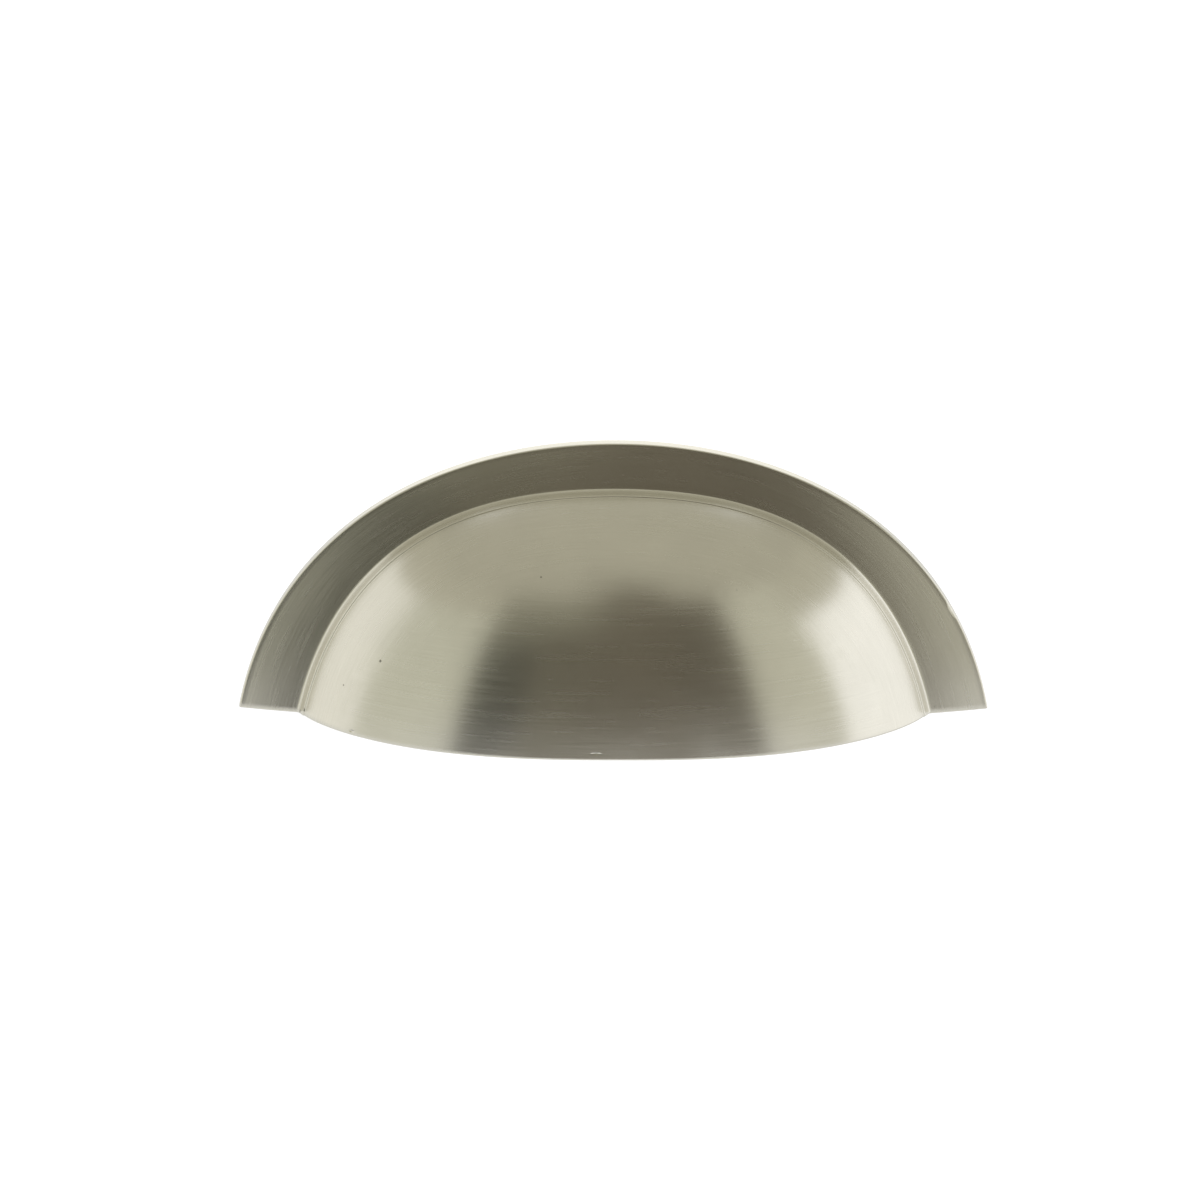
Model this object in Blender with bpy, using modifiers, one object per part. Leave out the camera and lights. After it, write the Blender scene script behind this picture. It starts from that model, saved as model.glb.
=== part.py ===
"""Cup pull for a drawer: a one-piece cast half dome with a dished flange round it, screwed on from inside the drawer.

Metres, +Z up. The back lies on the plane Y = 0 and the dome stands out along -Y. The origin is midway between
the two screw axes, on the back plane.
"""

from math import asin, cos, pi, radians, sin, tan

import bmesh
import bpy
from mathutils import Vector
from mathutils.bvhtree import BVHTree

# Overall sizes
WIDTH = 0.104  # across the flange's lower corners
HEIGHT = 0.0385  # from the lower rim to the top of the flange
PROJECTION = 0.0229  # from the back plane to the middle of the lip

# Flange
EDGE_THICKNESS = 0.0020  # the flange's outer edge, front to back
EDGE_RADIUS = 0.0003  # rounding of that edge at the front
FLANGE_DISH = 0.00185  # how much higher the flange's front is at its inner side
FLANGE_CROWN = 0.00008  # how far the front bows out from a straight line
FLANGE_SIDE_WIDTH = 0.0083  # outer edge to the middle of the step, at the lower corners
FLANGE_TOP_WIDTH = 0.0060  # the same, at the top

# Step from the flange up to the dome: a rise that steepens from the flange to its crest, then a narrow, gentler shelf
STEP_RUN = 0.0011
STEP_RISE = 0.0013
STEP_STEEPNESS = 3.0  # the slope at its crest, over its mean slope
SHELF_RISE = 0.0003

# Dome section: a rounded curve that would meet the flange's level this far inside the middle of the step
DOME_INSET = 0.00025
DOME_SIDE_EXPONENT = 2.595  # 2 and 2 would make an ellipse
DOME_FRONT_EXPONENT = 1.341

# Outlines: each is an ellipse cut above its widest line, with fuller shoulders
FLANGE_CENTRE_DROP = 0.0095  # the ellipse's centre lies this far below the lower rim
FLANGE_SHOULDER = 0.022
STEP_CENTRE_DROP = 0.0204
STEP_SHOULDER = 0.069

# Shell and back
WALL = 0.0022
LAND_WIDTH = 0.0032  # flat ground band round the back of the flange
LAND_CHAMFER = 0.0008
LIP_BREAK = 0.0003  # small bevel along the outer edge of the lip

# Screw bosses, for M4 machine screws
SCREW_SPACING = 0.064
SCREW_HEIGHT = 0.012  # above the lower rim
BOSS_DIAMETER = 0.0085  # at its face, in the back plane
BOSS_DRAFT = radians(1.5)  # taper of a cast boss, on each side
BOSS_FILLET = 0.0014  # where a boss grows out of the hollow's wall
TAPPING_DIAMETER = 0.0033
TAPPING_DEPTH = 0.0085  # to the end of the straight bore
MOUTH_CHAMFER = 0.0005
DRILL_POINT = radians(118)

# Fineness of the mesh
ARC_STEPS = 60
EDGE_STEPS = 3
FLANGE_STEPS = 5
STEP_STEPS = 6
DOME_RINGS = 13
ROUND_SIDES = 28
FILLET_STEPS = 4

OVERCUT = 0.001  # how far a cutter stands out of what it cuts
FILLET_SINK = 0.00003  # how far a fillet's toe lies inside the wall
MERGE_DISTANCE = 0.000001
RIM_Z = -SCREW_HEIGHT
FLANGE_HALF = WIDTH / 2
STEP_HALF = FLANGE_HALF - FLANGE_SIDE_WIDTH
STEP_HEIGHT = HEIGHT - FLANGE_TOP_WIDTH
STEP_FOOT_HALF = STEP_HALF + STEP_RUN / 2
STEP_FOOT_DEPTH = EDGE_THICKNESS + FLANGE_DISH
DOME_HALF = STEP_HALF - DOME_INSET
DOME_FOOT_DEPTH = STEP_FOOT_DEPTH + STEP_RISE + SHELF_RISE


def mix(first, last, share):
    return first + (last - first) * share


def clear_scene():
    for thing in list(bpy.data.objects):
        bpy.data.objects.remove(thing, do_unlink=True)


def make_collection(name):
    collection = bpy.data.collections.new(name)
    bpy.context.scene.collection.children.link(collection)
    return collection


def satin_nickel():
    material = bpy.data.materials.new("satin_nickel")
    material.use_nodes = True
    shader = material.node_tree.nodes["Principled BSDF"]
    shader.inputs["Base Color"].default_value = (0.62, 0.59, 0.53, 1.0)
    shader.inputs["Metallic"].default_value = 1.0
    shader.inputs["Roughness"].default_value = 0.32
    return material


def height_for(half_width):
    """How high an outline reaches above the lower rim, from its half width at the rim."""
    if half_width <= STEP_HALF:
        return STEP_HEIGHT * half_width / STEP_HALF
    return mix(STEP_HEIGHT, HEIGHT, (half_width - STEP_HALF) / FLANGE_SIDE_WIDTH)


def outline(half_width, height):
    """Points (x, z) of one outline, from the right end of its base line over the top to the left end."""
    share = min(max((half_width - STEP_HALF) / FLANGE_SIDE_WIDTH, 0.0), 1.0)
    drop = height * mix(STEP_CENTRE_DROP / STEP_HEIGHT, FLANGE_CENTRE_DROP / HEIGHT, share)
    shoulder = mix(STEP_SHOULDER, FLANGE_SHOULDER, share)
    reach = height + drop

    def swell(angle):
        return 1 + shoulder * sin(2 * angle) ** 2

    start = asin(drop / reach)
    for _ in range(12):
        start = asin(drop / (reach * swell(start)))
    half_axis = half_width / (swell(start) * cos(start))
    points = []
    for step in range(ARC_STEPS + 1):
        angle = mix(start, pi - start, step / ARC_STEPS)
        points.append((half_axis * swell(angle) * cos(angle), reach * swell(angle) * sin(angle) - drop))
    points[0] = (half_width, 0.0)
    points[-1] = (-half_width, 0.0)
    return points


def dome_depth(half_width):
    """Depth of the dome's front at the lower rim, from the half width there."""
    rise = (1 - (half_width / DOME_HALF) ** DOME_SIDE_EXPONENT) ** (1 / DOME_FRONT_EXPONENT)
    return mix(STEP_FOOT_DEPTH, PROJECTION, rise)


def dome_half_width(depth):
    """The same curve read the other way: half width at the lower rim, from the depth."""
    rise = (depth - STEP_FOOT_DEPTH) / (PROJECTION - STEP_FOOT_DEPTH)
    return DOME_HALF * (1 - rise**DOME_FRONT_EXPONENT) ** (1 / DOME_SIDE_EXPONENT)


def edge_profile():
    """The flange's outer edge, as half widths and depths, from the back plane round to the front."""
    profile = [(FLANGE_HALF, 0.0)]
    for step in range(EDGE_STEPS + 1):
        angle = pi / 2 * step / EDGE_STEPS
        inset = EDGE_RADIUS * (1 - cos(angle))
        profile.append((FLANGE_HALF - inset, EDGE_THICKNESS - EDGE_RADIUS * (1 - sin(angle))))
    return profile


def flange_profile():
    """The dished front of the flange, up to the foot of the step."""
    profile = []
    for step in range(1, FLANGE_STEPS + 1):
        share = step / FLANGE_STEPS
        half_width = mix(FLANGE_HALF - EDGE_RADIUS, STEP_FOOT_HALF, share)
        bow = FLANGE_CROWN * 4 * share * (1 - share)
        profile.append((half_width, mix(EDGE_THICKNESS, STEP_FOOT_DEPTH, share) + bow))
    return profile


def step_profile():
    """The step: it leaves the flange at the flange's slope and steepens all the way to its crest."""
    profile = []
    foot_slope = FLANGE_DISH / FLANGE_SIDE_WIDTH * STEP_RUN
    for step in range(1, STEP_STEPS + 1):
        share = step / STEP_STEPS
        rise = share**2 * (3 - 2 * share) * STEP_RISE
        rise += share * (1 - share) ** 2 * foot_slope
        rise -= share**2 * (1 - share) * STEP_STEEPNESS * STEP_RISE
        profile.append((STEP_FOOT_HALF - STEP_RUN * share, STEP_FOOT_DEPTH + rise))
    return profile


def dome_profile():
    """The dome from its foot, where the shelf ends, to the last ring before its front."""
    profile = []
    for ring in range(DOME_RINGS + 1):
        half_width = dome_half_width(DOME_FOOT_DEPTH) * cos(pi / 2 * ring / (DOME_RINGS + 1))
        profile.append((half_width, dome_depth(half_width)))
    return profile


def offset_inwards(profile, distance):
    """The profile moved into the metal by a distance, along the normal at each of its points."""
    moved = []
    for index, (across, depth) in enumerate(profile):
        before = profile[max(index - 1, 0)]
        after = profile[min(index + 1, len(profile) - 1)]
        run, rise = before[0] - after[0], after[1] - before[1]
        length = (run * run + rise * rise) ** 0.5
        moved.append((across - distance * rise / length, depth - distance * run / length))
    return moved


def across_at(profile, depth):
    """Where a profile that only deepens inwards passes a given depth."""
    for (first, shallow), (last, deep) in zip(profile, profile[1:]):
        if shallow <= depth < deep:
            return mix(first, last, (depth - shallow) / (deep - shallow))
    return profile[-1][0]


def hollow_rings():
    """Half widths, heights and depths of the hollow's outlines, from the land on the back plane inwards.

    The wall follows the flange and the dome, and leaves out the small step.
    """
    front = edge_profile()[-1:] + flange_profile() + dome_profile()
    side = offset_inwards(front, WALL)
    top = offset_inwards([(height_for(half_width), depth) for half_width, depth in front], WALL)
    land_half = FLANGE_HALF - LAND_WIDTH
    land_height = HEIGHT - LAND_WIDTH
    rings = [(land_half, land_height, -OVERCUT), (land_half, land_height, 0.0)]
    for half_width, depth in side:
        if half_width < land_half - LAND_CHAMFER and depth > LAND_CHAMFER:
            height = min(across_at(top, depth), land_height - LAND_CHAMFER)
            rings.append((half_width, height, depth))
    return rings


def make_loops(mesh, rings, overhang=0.0):
    """The outlines' vertices, each outline carried on below the rim by the overhang, and the walls between them."""
    loops = []
    for half_width, height, depth in rings:
        corners = outline(half_width, height)
        if overhang:
            corners = [(half_width, -overhang)] + corners + [(-half_width, -overhang)]
        loops.append([mesh.verts.new((x, -depth, RIM_Z + z)) for x, z in corners])
    for near, far in zip(loops, loops[1:]):
        for step in range(len(near) - 1):
            mesh.faces.new((near[step], near[step + 1], far[step + 1], far[step]))
    return loops


def outer_form():
    """The pull's outer form as a solid: a loft from the flange's edge to the dome's front, flat at back and rim."""
    mesh = bmesh.new()
    rings = []
    for half_width, depth in edge_profile() + flange_profile() + step_profile() + dome_profile():
        rings.append((half_width, height_for(half_width), depth))
    loops = make_loops(mesh, rings)
    front = mesh.verts.new((0.0, -PROJECTION, RIM_Z))
    for step in range(ARC_STEPS):
        mesh.faces.new((loops[-1][step], loops[-1][step + 1], front))
    mesh.faces.new(loops[0])
    right_ends = [loop[0] for loop in loops]
    left_ends = [loop[-1] for loop in loops]
    rim = mesh.faces.new(right_ends + [front] + left_ends[::-1])
    bmesh.ops.recalc_face_normals(mesh, faces=mesh.faces[:])
    lip = [edge for edge in rim.edges if all(-end.co.y > DOME_FOOT_DEPTH for end in edge.verts)]
    bmesh.ops.bevel(mesh, geom=lip, offset=LIP_BREAK, segments=1, affect="EDGES")
    return mesh


def core_form():
    """The hollow as a solid, standing out of the back and the rim, to be cut from the outer form."""
    mesh = bmesh.new()
    loops = make_loops(mesh, hollow_rings(), overhang=OVERCUT)
    mesh.faces.new(loops[0])
    mesh.faces.new(loops[-1])
    right_ends = [loop[0] for loop in loops]
    left_ends = [loop[-1] for loop in loops]
    mesh.faces.new(right_ends + left_ends[::-1])
    bmesh.ops.recalc_face_normals(mesh, faces=mesh.faces[:])
    return mesh


def wall_finder(core):
    """A function that gives the depth of the hollow's wall behind a point (x, z) of the back plane."""
    tree = BVHTree.FromBMesh(core)

    def wall_at(x, z):
        spot = tree.ray_cast(Vector((x, 0.0, z)), Vector((0.0, -1.0, 0.0)))[0]
        return -spot.y if spot else 0.0

    return wall_at


def boss_side(wall_at, across, turn):
    """One side of a boss as radii and depths: straight with its draft, then a fillet onto the wall, then on past it."""

    def wall_out_at(radius):
        return wall_at(across + radius * cos(turn), radius * sin(turn))

    radius = BOSS_DIAMETER / 2
    for _ in range(3):
        root = wall_out_at(radius)
        radius = BOSS_DIAMETER / 2 + root * tan(BOSS_DRAFT)
    back = -BOSS_FILLET - OVERCUT
    side = [(BOSS_DIAMETER / 2 + back * tan(BOSS_DRAFT), back)]
    toe_radius = radius + BOSS_FILLET
    toe = wall_out_at(toe_radius) + FILLET_SINK
    for step in range(FILLET_STEPS + 1):
        share = step / FILLET_STEPS
        out = mix(radius, mix(radius, toe_radius, share), share)
        deep = mix(mix(root - BOSS_FILLET, root, share), mix(root, toe, share), share)
        side.append((out, deep))
    side.append((toe_radius, PROJECTION + OVERCUT))
    return side


def boss_form(wall_at, across):
    """A screw boss about Y, from behind the back plane to beyond the dome, with a fillet all round its root."""
    mesh = bmesh.new()
    columns = []
    for step in range(ROUND_SIDES):
        turn = 2 * pi * step / ROUND_SIDES
        side = boss_side(wall_at, across, turn)
        columns.append([mesh.verts.new((out * cos(turn), -deep, out * sin(turn))) for out, deep in side])
    for near, far in zip(columns, columns[1:] + columns[:1]):
        for step in range(len(near) - 1):
            mesh.faces.new((near[step], near[step + 1], far[step + 1], far[step]))
    mesh.faces.new([column[0] for column in columns])
    mesh.faces.new([column[-1] for column in columns])
    bmesh.ops.recalc_face_normals(mesh, faces=mesh.faces[:])
    return mesh


def tapping_profile():
    """Half the section of a screw's blind hole, from its mouth to its drill point, to be turned about Y."""
    radius = TAPPING_DIAMETER / 2
    mouth = radius + MOUTH_CHAMFER
    point = radius / tan(DRILL_POINT / 2)
    corners = [(0, -OVERCUT), (mouth, -OVERCUT), (mouth, 0), (radius, MOUTH_CHAMFER)]
    corners += [(radius, TAPPING_DEPTH), (0, TAPPING_DEPTH + point)]
    mesh = bmesh.new()
    verts = [mesh.verts.new((across, -depth, 0)) for across, depth in corners]
    for first, last in zip(verts, verts[1:]):
        mesh.edges.new((first, last))
    return mesh


def add_object(name, mesh, collection, material=None):
    data = bpy.data.meshes.new(name)
    mesh.to_mesh(data)
    mesh.free()
    data.shade_smooth()
    data.set_sharp_from_angle(angle=pi / 6)
    thing = bpy.data.objects.new(name, data)
    collection.objects.link(thing)
    if material:
        data.materials.append(material)
    else:
        thing.hide_render = True
        thing.display_type = "WIRE"
    return thing


def turn(thing):
    """Turns a profile about Y into a closed round solid."""
    modifier = thing.modifiers.new("turn", "SCREW")
    modifier.axis = "Y"
    modifier.steps = ROUND_SIDES
    modifier.render_steps = ROUND_SIDES
    modifier.use_merge_vertices = True
    modifier.merge_threshold = MERGE_DISTANCE


def cut_away(thing, tool):
    modifier = thing.modifiers.new(tool.name, "BOOLEAN")
    modifier.operation = "DIFFERENCE"
    modifier.solver = "EXACT"
    modifier.object = tool


def main():
    clear_scene()
    parts = make_collection("cup_pull")
    cutters = make_collection("cutters")
    body = add_object("cup_pull_body", outer_form(), parts, satin_nickel())
    hollow = core_form()
    wall_at = wall_finder(hollow)
    core = add_object("core", hollow, cutters)
    cut_away(body, core)
    for side, across in (("left", -SCREW_SPACING / 2), ("right", SCREW_SPACING / 2)):
        boss = add_object(f"{side}_boss", boss_form(wall_at, across), cutters)
        bore = add_object(f"{side}_bore", tapping_profile(), cutters)
        turn(bore)
        boss.location.x = across
        bore.location.x = across
        cut_away(core, boss)
        cut_away(body, bore)


main()
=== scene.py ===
"""Cup pull for a drawer, in brushed satin nickel, on a plain pale floor.

The casting is one piece: a half dome, a dished flange round it, a small step between them, a ground land
at the back and two tapped bosses in the hollow. Metres, +Z up. The back lies on the plane Y = 0, the dome
stands out along -Y, and the origin is midway between the two screw axes.
"""

from math import asin, atan2, cos, hypot, pi, radians, sin, tan

import bmesh
import bpy
from bpy.props import FloatProperty, FloatVectorProperty, PointerProperty
from mathutils import Matrix, Vector


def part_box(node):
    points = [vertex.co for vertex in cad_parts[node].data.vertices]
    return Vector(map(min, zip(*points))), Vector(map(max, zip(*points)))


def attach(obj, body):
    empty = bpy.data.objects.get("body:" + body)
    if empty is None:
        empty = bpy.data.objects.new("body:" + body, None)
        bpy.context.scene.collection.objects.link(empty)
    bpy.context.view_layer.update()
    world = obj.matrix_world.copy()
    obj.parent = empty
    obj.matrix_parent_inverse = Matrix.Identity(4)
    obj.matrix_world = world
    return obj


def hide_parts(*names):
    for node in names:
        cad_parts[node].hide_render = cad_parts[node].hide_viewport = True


bl_info = {
    "name": "Cup Pull",
    "version": (1, 0, 0),
    "blender": (4, 5, 0),
    "location": "3D View > Sidebar > Cup Pull",
    "description": "A cast cup pull in brushed satin nickel, with its floor, lights and camera",
    "category": "Object",
}

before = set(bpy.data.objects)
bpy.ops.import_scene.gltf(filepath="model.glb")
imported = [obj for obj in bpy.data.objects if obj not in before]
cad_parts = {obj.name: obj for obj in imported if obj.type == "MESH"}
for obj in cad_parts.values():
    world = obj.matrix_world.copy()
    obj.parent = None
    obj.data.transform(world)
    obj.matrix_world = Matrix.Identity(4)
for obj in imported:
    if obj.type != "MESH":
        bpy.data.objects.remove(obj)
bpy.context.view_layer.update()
NODE = "cup_pull_body"
LOW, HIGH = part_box(NODE)
RIM_Z = LOW.z

# Fineness of the mesh
ARC_STEPS = 221  # odd, so that the last ring's two halves can be bridged
RIM_STEPS = 4
EDGE_STEPS = 5
FLANGE_STEPS = 12
STEP_STEPS = 14
SHELF_STEPS = 8
DOME_RINGS = 60
FRONT_RING = 0.0022  # half width of the ring at the front of the dome, closed by a ladder of faces
ROUND_SIDES = 64
THREAD_SIDES = 42
FILLET_STEPS = 6
SHARP_ANGLE = radians(38)
MERGE_DISTANCE = 0.000001
STROKE_LENGTH = 0.011
STROKE_WIDTH = 0.0003
BAND_LENGTH = 0.022
BAND_WIDTH = 0.0009
OUTLINE_ROUNDS = 12  # for the angle at which an outline starts, each round closer
HALVINGS = 40  # for the angle at a height
ROOT_ROUNDS = 3  # for a boss's width where it meets the wall
OVERCUT = 0.001
FILLET_SINK = 0.00002  # how far a fillet's toe lies inside the wall
BOSS_SINK = 0.0008  # how far a boss's root lies inside it
SUNK_RINGS = 4
THREAD_CLEARANCE = 0.00003  # between the tap's core and the bore, so that only the thread cuts

PIECE = "pull_casting"
LEVEL_MAP = "level_lines"
ARC_MAP = "arc_lines"
ARC_SHARE = "arc_share"
FINISHES = ("Brushed nickel", "Plated hollow", "Ground face")
BRUSHED, PLATED, GROUND = range(3)  # the casting's material slots, in that order
ARCS_END = 0.95  # share of the dome's half width past which all the brush lines are arcs
ARCS_BEGIN_HIGH = 0.56  # and past which the first of them are, near the top of the dome
ARCS_BEGIN_LOW = 0.80  # and near the lip


def length(name, description, default):
    return FloatProperty(
        name=name, description=description, default=default, min=0.0, unit="LENGTH", precision=5
    )


def colour(name, description, default):
    return FloatVectorProperty(
        name=name, description=description, default=default, size=3, min=0.0, max=1.0, subtype="COLOR"
    )


class CastingSizes(bpy.types.PropertyGroup):
    """Sizes of the casting"""

    width: length("Width", "Across the flange's lower corners", HIGH.x - LOW.x)
    height: length("Height", "From the lower rim to the top of the flange", HIGH.z - LOW.z)
    projection: length("Projection", "From the back to the middle of the lip", HIGH.y - LOW.y)
    edge_thickness: length("Edge thickness", "The flange's outer edge, front to back", 0.0020)
    edge_radius: length("Edge radius", "Rounding of that edge at the front", 0.0003)
    back_break: length("Back break", "Rounding of that edge at the back", 0.0003)
    flange_dish: length("Flange dish", "How much higher the flange is at its inner side", 0.00185)
    flange_crown: length("Flange crown", "How far the flange's front bows out", 0.00008)
    side_width: length("Flange side width", "Outer edge to the middle of the step, at the rim", 0.0083)
    top_width: length("Flange top width", "The same, at the top", 0.0060)
    step_run: length("Step run", "How far the step goes inwards", 0.0011)
    step_rise: length("Step rise", "How far the step rises off the flange", 0.00135)
    shelf_rise: length("Shelf rise", "From the step's crest to the foot of the dome", 0.00025)
    dome_inset: length(
        "Dome inset", "How far inside the step the dome would meet the flange's level", 0.00025
    )
    flange_drop: length(
        "Flange centre drop", "The flange's ellipse has its centre this far below the rim", 0.0095
    )
    step_drop: length("Step centre drop", "The step's ellipse has its centre this far below the rim", 0.0204)
    wall: length("Wall", "Thickness of the shell", 0.0022)
    land_width: length("Land width", "Ground band round the back of the flange", 0.0032)
    land_chamfer: length("Land chamfer", "Where the land falls away into the hollow", 0.0008)
    lip_radius: length("Lip radius", "Rounding of the rim on the outside", 0.00025)
    inner_lip_radius: length("Inner lip radius", "Rounding of the rim on the inside", 0.00012)


class BossSizes(bpy.types.PropertyGroup):
    """Sizes of the screw bosses and their threads"""

    spacing: length("Screw spacing", "Between the two screw axes", 0.064)
    diameter: length("Boss diameter", "At its face, in the back plane", 0.0085)
    fillet: length("Fillet", "Where a boss grows out of the wall", 0.0014)
    tapping_diameter: length("Tapping diameter", "Of the bore before it is tapped", 0.0033)
    tapping_depth: length("Tapping depth", "To the end of the straight bore", 0.0085)
    mouth_chamfer: length("Mouth chamfer", "Countersink of the bore", 0.0005)
    thread_diameter: length("Thread diameter", "Across the roots of the thread", 0.0040)
    pitch: length("Thread pitch", "From one turn to the next", 0.0007)
    thread_depth: length("Thread depth", "Length of bore that is threaded", 0.0075)


DOME_SIDE_EXPONENT = 2.595  # 2 and 2 would make the dome's section an ellipse
DOME_FRONT_EXPONENT = 1.341
STEP_BEND = 0.23  # share of the step's run that still has the flange's slope
CREST_SLOPE = 1.83  # rise over run at the step's crest
FLANGE_SHOULDER = 0.022  # how much fuller than an ellipse the outlines are at their shoulders
STEP_SHOULDER = 0.069
BOSS_DRAFT = radians(1.5)
DRILL_POINT = radians(118)
THREAD_ANGLE = radians(60)
THREAD_START = radians(1.3)  # so that no edge of the tap lies along one of the drill


def mix(first, last, share):
    return first + (last - first) * share


def smoothstep(low, high, value):
    share = min(max((value - low) / (high - low), 0.0), 1.0)
    return share * share * (3 - 2 * share)


def eased(first, last, slope_in, slope_out, steps):
    """Points of a profile from one place to the next, which leave and arrive at the given slopes."""
    run, rise = first[0] - last[0], last[1] - first[1]
    points = []
    for step in range(1, steps + 1):
        share = step / steps
        climb = share**2 * (3 - 2 * share) * rise
        climb += share * (1 - share) ** 2 * slope_in * run
        climb -= share**2 * (1 - share) * slope_out * run
        points.append((first[0] - run * share, first[1] + climb))
    return points


class PullForm:
    """The casting's outlines and sections, worked out from its sizes."""

    def __init__(self, sizes):
        self.sizes = sizes
        self.flange_half = sizes.width / 2
        self.step_half = self.flange_half - sizes.side_width
        self.step_height = sizes.height - sizes.top_width
        self.step_foot_half = self.step_half + sizes.step_run / 2
        self.step_foot_depth = sizes.edge_thickness + sizes.flange_dish
        self.dome_half = self.step_half - sizes.dome_inset
        self.dome_foot_depth = self.step_foot_depth + sizes.step_rise + sizes.shelf_rise

    def height_for(self, half_width):
        """How high an outline reaches above the rim, from its half width at the rim."""
        if half_width <= self.step_half:
            return self.step_height * half_width / self.step_half
        share = (half_width - self.step_half) / self.sizes.side_width
        return mix(self.step_height, self.sizes.height, share)

    def outline(self, half_width, height):
        """A function from an angle to a point (x, z) of the outline, and its angle at the rim."""
        sizes = self.sizes
        share = min(max((half_width - self.step_half) / sizes.side_width, 0.0), 1.0)
        drop = height * mix(sizes.step_drop / self.step_height, sizes.flange_drop / sizes.height, share)
        shoulder = mix(STEP_SHOULDER, FLANGE_SHOULDER, share)
        reach = height + drop

        def swell(angle):
            return 1 + shoulder * sin(2 * angle) ** 2

        start = asin(drop / reach)
        for _ in range(OUTLINE_ROUNDS):
            start = asin(drop / (reach * swell(start)))
        half_axis = half_width / (swell(start) * cos(start))

        def point(angle):
            return half_axis * swell(angle) * cos(angle), reach * swell(angle) * sin(angle) - drop

        return point, start

    def dome_depth(self, half_width):
        rise = (1 - (half_width / self.dome_half) ** DOME_SIDE_EXPONENT) ** (1 / DOME_FRONT_EXPONENT)
        return mix(self.step_foot_depth, self.sizes.projection, rise)

    def dome_half_width(self, depth):
        rise = (depth - self.step_foot_depth) / (self.sizes.projection - self.step_foot_depth)
        return self.dome_half * (1 - rise**DOME_FRONT_EXPONENT) ** (1 / DOME_SIDE_EXPONENT)

    def back_profile(self):
        """The land on the back plane and the flange's outer edge, as half widths and depths."""
        sizes = self.sizes
        profile = [(self.flange_half - sizes.land_width / 2, 0.0)]
        back_edge = (sizes.back_break, 0.0, -1)
        front_edge = (sizes.edge_radius, sizes.edge_thickness, 1)
        for radius, depth, turn in (back_edge, front_edge):
            for step in range(EDGE_STEPS + 1):
                angle = pi / 2 * (step if turn > 0 else EDGE_STEPS - step) / EDGE_STEPS
                inset = radius * (1 - cos(angle))
                profile.append((self.flange_half - inset, depth - turn * radius * (1 - sin(angle))))
        return profile

    def flange_profile(self):
        """The dished front of the flange, up to the foot of the step."""
        sizes = self.sizes
        profile = []
        for step in range(1, FLANGE_STEPS + 1):
            share = step / FLANGE_STEPS
            half_width = mix(self.flange_half - sizes.edge_radius, self.step_foot_half, share)
            bow = sizes.flange_crown * 4 * share * (1 - share)
            profile.append((half_width, mix(sizes.edge_thickness, self.step_foot_depth, share) + bow))
        return profile

    def crest(self):
        """Half width and depth of the step's crest."""
        return self.step_foot_half - self.sizes.step_run, self.step_foot_depth + self.sizes.step_rise

    def step_profile(self):
        """The step: it runs on at the flange's slope, then climbs in a small fillet to its crest."""
        sizes = self.sizes
        flange_slope = sizes.flange_dish / sizes.side_width
        level = STEP_BEND * sizes.step_run
        bend = (self.step_foot_half - level, self.step_foot_depth + flange_slope * level)
        return [bend] + eased(bend, self.crest(), flange_slope, CREST_SLOPE, STEP_STEPS)

    def shelf_profile(self):
        """The shallow groove between the step's crest and the foot of the dome."""
        foot = self.dome_half_width(self.dome_foot_depth)
        dome_slope = (self.dome_depth(foot - MERGE_DISTANCE) - self.dome_depth(foot)) / MERGE_DISTANCE
        return eased(self.crest(), (foot, self.dome_foot_depth), CREST_SLOPE, dome_slope, SHELF_STEPS)[:-1]

    def dome_profile(self):
        """The dome from its foot, where the shelf ends, to the small ring round its front."""
        foot = self.dome_half_width(self.dome_foot_depth)
        last = asin(FRONT_RING / foot)
        profile = []
        for ring in range(DOME_RINGS + 1):
            half_width = foot * cos((pi / 2 - last) * ring / DOME_RINGS)
            profile.append((half_width, self.dome_depth(half_width)))
        return profile

    def front_profile(self):
        """Half widths and depths of the outer form, from the back's edge to the front of the dome."""
        profile = self.back_profile() + self.flange_profile()
        return profile + self.step_profile() + self.shelf_profile() + self.dome_profile()

    def front_rings(self):
        """Half widths, heights and depths of the outer form's outlines."""
        return [(half, self.height_for(half), depth) for half, depth in self.front_profile()]

    def hollow_rings(self):
        """The hollow's outlines: its wall follows the flange and the dome, and leaves out the small step."""
        sizes = self.sizes
        edge = [(self.flange_half - sizes.edge_radius, sizes.edge_thickness)]
        front = edge + self.flange_profile() + self.dome_profile()
        side = offset_inwards(front, sizes.wall)
        top = offset_inwards([(self.height_for(half), depth) for half, depth in front], sizes.wall)
        land_half = self.flange_half - sizes.land_width
        land_height = sizes.height - sizes.land_width
        rings = [(land_half, land_height, 0.0)]
        for half_width, depth in side:
            if half_width < land_half - sizes.land_chamfer and depth > sizes.land_chamfer:
                height = min(across_at(top, depth), land_height - sizes.land_chamfer)
                rings.append((half_width, height, depth))
        return rings


def offset_inwards(profile, distance):
    """The profile moved into the metal by a distance, along the normal at each of its points."""
    moved = []
    for index, (across, depth) in enumerate(profile):
        before = profile[max(index - 1, 0)]
        after = profile[min(index + 1, len(profile) - 1)]
        run, rise = before[0] - after[0], after[1] - before[1]
        size = hypot(run, rise)
        moved.append((across - distance * rise / size, depth - distance * run / size))
    return moved


def across_at(profile, depth):
    """Where a profile that only deepens inwards passes a given depth."""
    for (first, shallow), (last, deep) in zip(profile, profile[1:]):
        if shallow <= depth < deep:
            return mix(first, last, (depth - shallow) / (deep - shallow))
    return profile[-1][0]


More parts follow.
